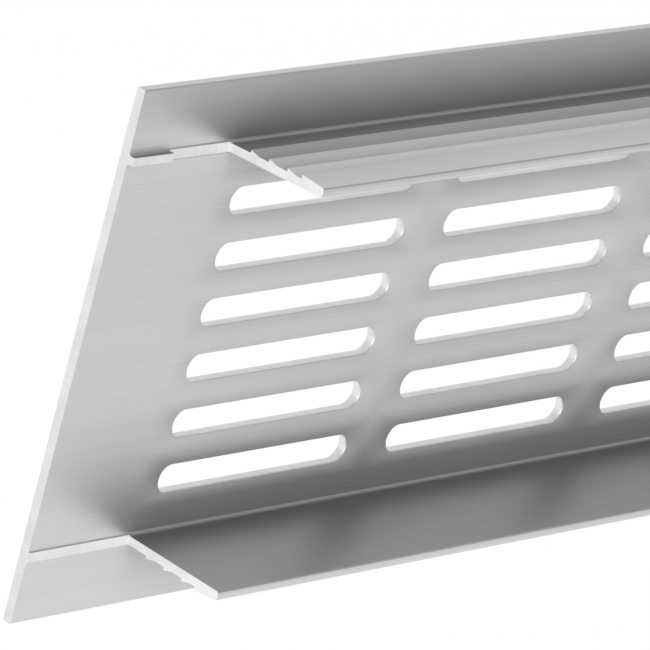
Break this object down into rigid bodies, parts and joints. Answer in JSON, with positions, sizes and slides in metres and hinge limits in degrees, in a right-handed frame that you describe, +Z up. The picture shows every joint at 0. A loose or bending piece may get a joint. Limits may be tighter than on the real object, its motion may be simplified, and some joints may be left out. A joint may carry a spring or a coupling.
{
  "type": "plinth vent grille",
  "caption": "Flat extruded ventilation grille with rows of round-ended air slots and barbed legs along its back that press into a furniture plinth cut-out.",
  "frame": {"origin": "middle of the plate's rear face, in the plane that rests on the board around the cut-out", "axes": "+X along the length of the grille, +Y out of the rear face along the legs, into the cut-out, so the front looks along -Y, +Z up across the height of the plate"},
  "size_m": [0.48, 0.0193, 0.08],
  "materials": {
    "anodised_aluminium": "satin"
  },
  "bodies": {
    "root": {"grille": "anodised_aluminium"}
  },
  "joints": []
}
